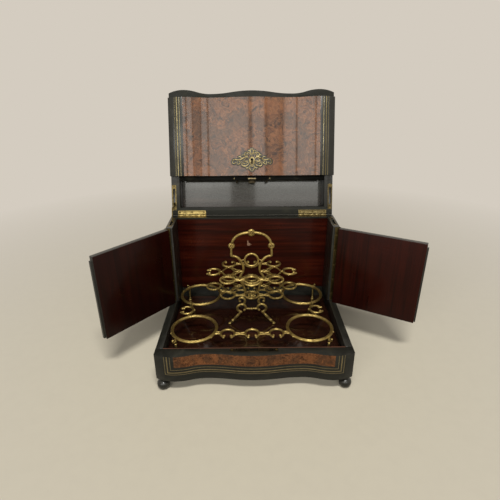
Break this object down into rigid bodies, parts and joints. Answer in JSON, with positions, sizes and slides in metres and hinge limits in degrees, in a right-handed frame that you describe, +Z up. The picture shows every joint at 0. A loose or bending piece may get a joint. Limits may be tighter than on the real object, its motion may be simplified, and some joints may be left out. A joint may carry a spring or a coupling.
{
  "type": "liqueur cabinet",
  "caption": "Serpentine-fronted wooden box with a hinged lid, a fold-down front, two side doors and a lift-out gilt stand for decanters and glasses.",
  "frame": {"origin": "centre of the flat underside of the base, on the centre line and midway between the front corners and the back; the bun feet reach 23.5 mm below it", "axes": "+X to the cabinet's right as seen from the front, +Y to its back, +Z up"},
  "size_m": [0.5597, 0.3604, 0.4624],
  "materials": {
    "ebonized_wood": "ebonized and polished",
    "mahogany": "french polished",
    "burr_walnut": "burr veneer, french polished",
    "brass": "aged",
    "gilt_brass": "gilt",
    "steel": "aged"
  },
  "bodies": {
    "case": {"base_front_rail": "ebonized_wood", "base_side_rails": "ebonized_wood", "base_back_rail": "ebonized_wood", "base_floor_board": "mahogany", "bun_feet": "ebonized_wood", "tray_bearers": "mahogany", "base_burr_strip": "burr_walnut", "base_stringing": "brass", "rail_lip": "mahogany", "strike_plate": "brass", "back_panel": "mahogany", "back_top_lipping": "ebonized_wood", "left_return": "ebonized_wood", "right_return": "ebonized_wood", "return_plates": "brass", "lid_hinge_case_leaves": "brass", "piano_case_leaves": "brass", "hinge_pins": "brass", "case_screws": "brass"},
    "left_door": {"left_door_board": "ebonized_wood", "left_door_lining": "mahogany", "left_door_burr": "burr_walnut", "left_door_stringing": "brass", "left_door_hinge_leaf": "brass"},
    "right_door": {"right_door_board": "ebonized_wood", "right_door_lining": "mahogany", "right_door_burr": "burr_walnut", "right_door_stringing": "brass", "right_door_hinge_leaf": "brass"},
    "lid": {"lid_front_rim": "ebonized_wood", "lid_side_rims": "ebonized_wood", "lid_back_rim": "ebonized_wood", "lid_top_board": "ebonized_wood", "lid_field": "mahogany", "lid_top_burr": "burr_walnut", "lid_top_stringing": "brass", "lid_rim_plates": "brass", "lid_hinge_leaves": "brass", "lid_screws": "brass"},
    "drop_front": {"drop_front_board": "ebonized_wood", "drop_front_burr": "burr_walnut", "drop_front_stringing": "brass", "escutcheon": "brass", "escutcheon_ground": "ebonized_wood", "lock_batten": "ebonized_wood", "lock_case": "steel", "lock_selvedge": "brass", "guide_pins": "brass", "drop_hinge_leaves": "brass"},
    "lock_bolt": {"lock_bolt": "brass"},
    "stay_lower_arm": {"stay_lower_arm": "brass"},
    "stay_upper_arm": {"stay_upper_arm": "brass"},
    "tray": {"tray_board": "mahogany", "decanter_rings": "gilt_brass", "gallery_rows": "gilt_brass", "gallery_side_holders": "gilt_brass", "gallery_legs": "gilt_brass", "lyre_stand": "gilt_brass", "upper_tier": "gilt_brass", "lower_tier": "gilt_brass"}
  },
  "joints": [
    {"name": "lid_hinge", "type": "hinge", "parent": "case", "child": "lid", "pos_m": [0, 0.1177, 0.2067], "axis": [-1, 0, 0], "range_deg": [-107, 0]},
    {"name": "drop_front_hinge", "type": "hinge", "parent": "lid", "child": "drop_front", "pos_m": [0, 0.18378, 0.42283], "axis": [1, 0, 0], "range_deg": [-90, 0]},
    {"name": "stay_lower_pivot", "type": "hinge", "parent": "case", "child": "stay_lower_arm", "pos_m": [-0.15555, 0.0927, 0.204], "axis": [-1, 0, 0], "range_deg": [-107, 0]},
    {"name": "stay_upper_pivot", "type": "hinge", "parent": "lid", "child": "stay_upper_arm", "pos_m": [-0.15555, 0.12759, 0.22982], "axis": [1, 0, 0], "range_deg": [-107, 0]},
    {"name": "left_door_hinge", "type": "hinge", "parent": "case", "child": "left_door", "pos_m": [-0.1626, 0.0473, 0.1283], "axis": [0, 0, -1], "range_deg": [-40.3, 119.7]},
    {"name": "right_door_hinge", "type": "hinge", "parent": "case", "child": "right_door", "pos_m": [0.1626, 0.0473, 0.1283], "axis": [0, 0, 1], "range_deg": [-60.5, 99.5]},
    {"name": "tray_lift", "type": "slide", "parent": "case", "child": "tray", "axis": [0, 0, 1], "range_m": [0, 0.2]},
    {"name": "lock_bolt_slide", "type": "slide", "parent": "drop_front", "child": "lock_bolt", "axis": [0, 0.2924, 0.9563], "range_m": [0, 0.005]}
  ],
  "couplings": [
    {"joint": "drop_front_hinge", "follows": "lid_hinge", "ratio": 0.8411},
    {"joint": "stay_lower_pivot", "follows": "lid_hinge", "ratio": 1},
    {"joint": "stay_upper_pivot", "follows": "lid_hinge", "ratio": 1}
  ]
}
